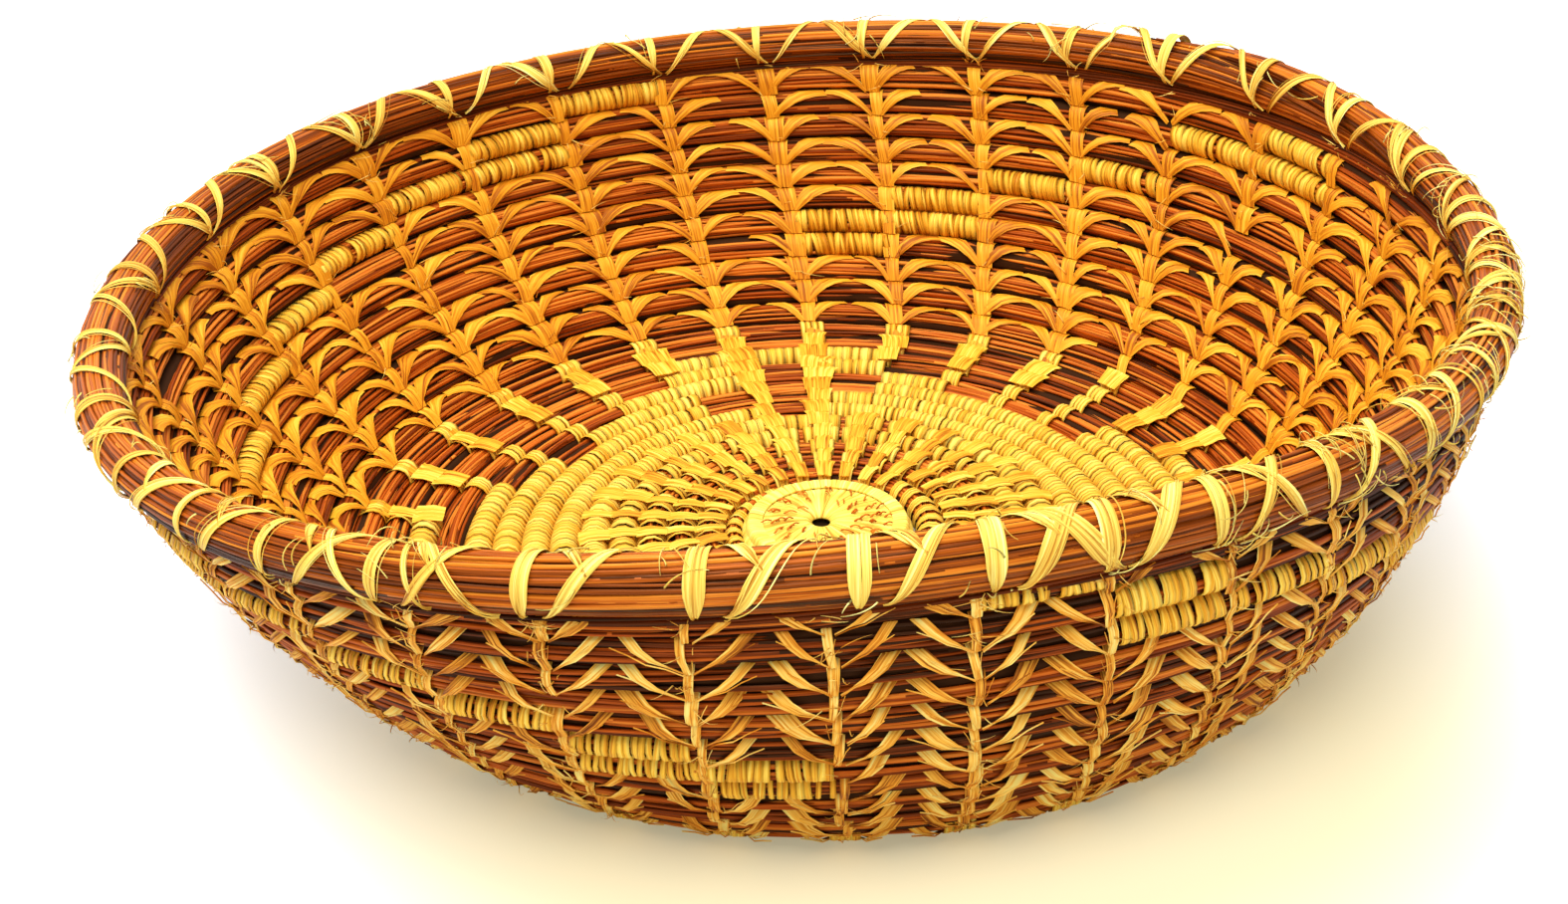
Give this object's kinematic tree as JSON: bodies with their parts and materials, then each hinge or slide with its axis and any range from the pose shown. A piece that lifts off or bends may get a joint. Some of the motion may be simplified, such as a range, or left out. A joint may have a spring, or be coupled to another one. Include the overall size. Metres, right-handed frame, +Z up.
{
  "type": "coiled pine needle basket",
  "caption": "Shallow round coiled basket of bundled pine needles, stitched with pale plant fibre, with a leaning wall, stepped wrapped blocks and a thick stitched rim.",
  "frame": {"origin": "centre of the bounding box on the plane the basket stands on", "axes": "+Z up out of the mouth, -Y towards the side shown at the front of the picture"},
  "size_m": [0.3062, 0.299, 0.0913],
  "materials": {
    "needle_coil": "dried needles, fine lengthwise strands, slightly glossy",
    "rim_needles": "dried needles, thicker bundle, glossier on top",
    "stitch_fibre": "split plant fibre, satin, streaked along its length",
    "disc_fibre": "close fibre stitches, satin",
    "pattern_fibre": "close wraps of fibre, satin"
  },
  "bodies": {
    "root": {"base_coil": "needle_coil", "wall_coil": "needle_coil", "rim_coil": "rim_needles", "centre_disc": "disc_fibre", "star_ring": "pattern_fibre", "stitch_line_01": "stitch_fibre", "stitch_line_02": "stitch_fibre", "stitch_line_03": "stitch_fibre", "stitch_line_04": "stitch_fibre", "stitch_line_05": "stitch_fibre", "stitch_line_06": "stitch_fibre", "stitch_line_07": "stitch_fibre", "stitch_line_08": "stitch_fibre", "stitch_line_09": "stitch_fibre", "stitch_line_10": "stitch_fibre", "stitch_line_11": "stitch_fibre", "stitch_line_12": "stitch_fibre", "stitch_line_13": "stitch_fibre", "stitch_line_14": "stitch_fibre", "stitch_line_15": "stitch_fibre", "stitch_line_16": "stitch_fibre", "stitch_line_17": "stitch_fibre", "stitch_line_18": "stitch_fibre", "stitch_line_19": "stitch_fibre", "stitch_line_20": "stitch_fibre", "stitch_line_21": "stitch_fibre", "stitch_line_22": "stitch_fibre", "stitch_line_23": "stitch_fibre", "stitch_line_24": "stitch_fibre", "stitch_line_25": "stitch_fibre", "stitch_line_26": "stitch_fibre", "stitch_line_27": "stitch_fibre", "stitch_line_28": "stitch_fibre", "stitch_line_29": "stitch_fibre", "stitch_line_30": "stitch_fibre", "stitch_line_31": "stitch_fibre", "stitch_line_32": "stitch_fibre", "stitch_line_33": "stitch_fibre", "wrapped_block_01": "pattern_fibre", "wrapped_block_02": "pattern_fibre", "wrapped_block_03": "pattern_fibre", "wrapped_block_04": "pattern_fibre", "wrapped_block_05": "pattern_fibre", "wrapped_block_06": "pattern_fibre", "wrapped_block_07": "pattern_fibre", "wrapped_block_08": "pattern_fibre", "wrapped_block_09": "pattern_fibre", "wrapped_block_10": "pattern_fibre", "wrapped_block_11": "pattern_fibre", "wrapped_block_12": "pattern_fibre", "wrapped_block_13": "pattern_fibre", "wrapped_block_14": "pattern_fibre", "wrapped_block_15": "pattern_fibre", "wrapped_block_16": "pattern_fibre", "wrapped_block_17": "pattern_fibre", "wrapped_block_18": "pattern_fibre", "wrapped_block_19": "pattern_fibre", "wrapped_block_20": "pattern_fibre", "wrapped_block_21": "pattern_fibre"}
  },
  "joints": []
}
